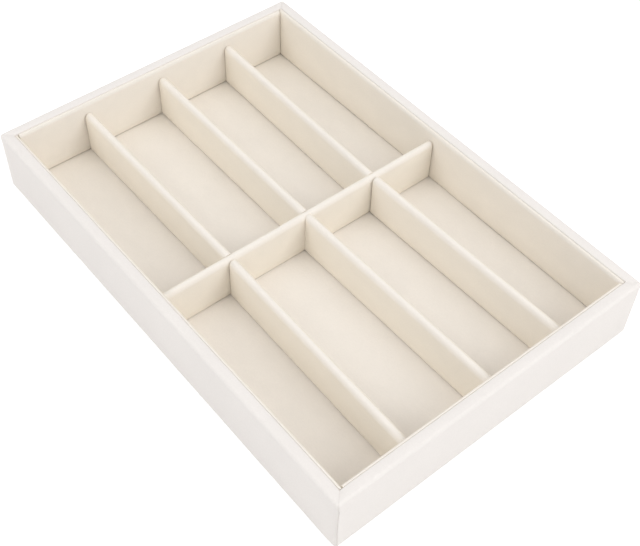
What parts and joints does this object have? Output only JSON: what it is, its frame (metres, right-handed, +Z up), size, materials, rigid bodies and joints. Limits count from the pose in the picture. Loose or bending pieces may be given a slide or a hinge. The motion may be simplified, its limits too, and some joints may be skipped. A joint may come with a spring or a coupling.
{
  "type": "sunglasses display tray",
  "caption": "Open rectangular display tray with leatherette-wrapped walls, a velvet lining and low lift-out velvet dividers that form long compartments.",
  "frame": {"origin": "middle of the underside, on the surface that the tray stands on", "axes": "+X along the tray's length, +Y from its front to its back, +Z up out of the open top"},
  "size_m": [0.378, 0.2574, 0.0518],
  "materials": {
    "leatherette": "satin",
    "velvet": "matte short pile",
    "fibreboard": "raw",
    "greyboard": "raw",
    "backing_sheet": "matte"
  },
  "bodies": {
    "tray": {"leatherette_wrap": "leatherette", "underside_cover": "backing_sheet", "base_board": "fibreboard", "front_wall_board": "fibreboard", "back_wall_board": "fibreboard", "left_wall_board": "fibreboard", "right_wall_board": "fibreboard", "floor_board": "greyboard", "floor_velvet": "velvet", "front_liner_board": "greyboard", "front_liner_velvet": "velvet", "back_liner_board": "greyboard", "back_liner_velvet": "velvet", "left_liner_board": "greyboard", "left_liner_velvet": "velvet", "right_liner_board": "greyboard", "right_liner_velvet": "velvet"},
    "centre_divider": {"centre_divider_board": "greyboard", "centre_divider_velvet": "velvet"},
    "left_front_divider": {"left_front_divider_board": "greyboard", "left_front_divider_velvet": "velvet"},
    "left_middle_divider": {"left_middle_divider_board": "greyboard", "left_middle_divider_velvet": "velvet"},
    "left_back_divider": {"left_back_divider_board": "greyboard", "left_back_divider_velvet": "velvet"},
    "right_front_divider": {"right_front_divider_board": "greyboard", "right_front_divider_velvet": "velvet"},
    "right_middle_divider": {"right_middle_divider_board": "greyboard", "right_middle_divider_velvet": "velvet"},
    "right_back_divider": {"right_back_divider_board": "greyboard", "right_back_divider_velvet": "velvet"}
  },
  "joints": [
    {"name": "centre_divider_lift", "type": "slide", "parent": "tray", "child": "centre_divider", "axis": [0, 0, 1], "range_m": [0, 0.05]},
    {"name": "left_front_divider_lift", "type": "slide", "parent": "tray", "child": "left_front_divider", "axis": [0, 0, 1], "range_m": [0, 0.05]},
    {"name": "left_middle_divider_lift", "type": "slide", "parent": "tray", "child": "left_middle_divider", "axis": [0, 0, 1], "range_m": [0, 0.05]},
    {"name": "left_back_divider_lift", "type": "slide", "parent": "tray", "child": "left_back_divider", "axis": [0, 0, 1], "range_m": [0, 0.05]},
    {"name": "right_front_divider_lift", "type": "slide", "parent": "tray", "child": "right_front_divider", "axis": [0, 0, 1], "range_m": [0, 0.05]},
    {"name": "right_middle_divider_lift", "type": "slide", "parent": "tray", "child": "right_middle_divider", "axis": [0, 0, 1], "range_m": [0, 0.05]},
    {"name": "right_back_divider_lift", "type": "slide", "parent": "tray", "child": "right_back_divider", "axis": [0, 0, 1], "range_m": [0, 0.05]}
  ]
}
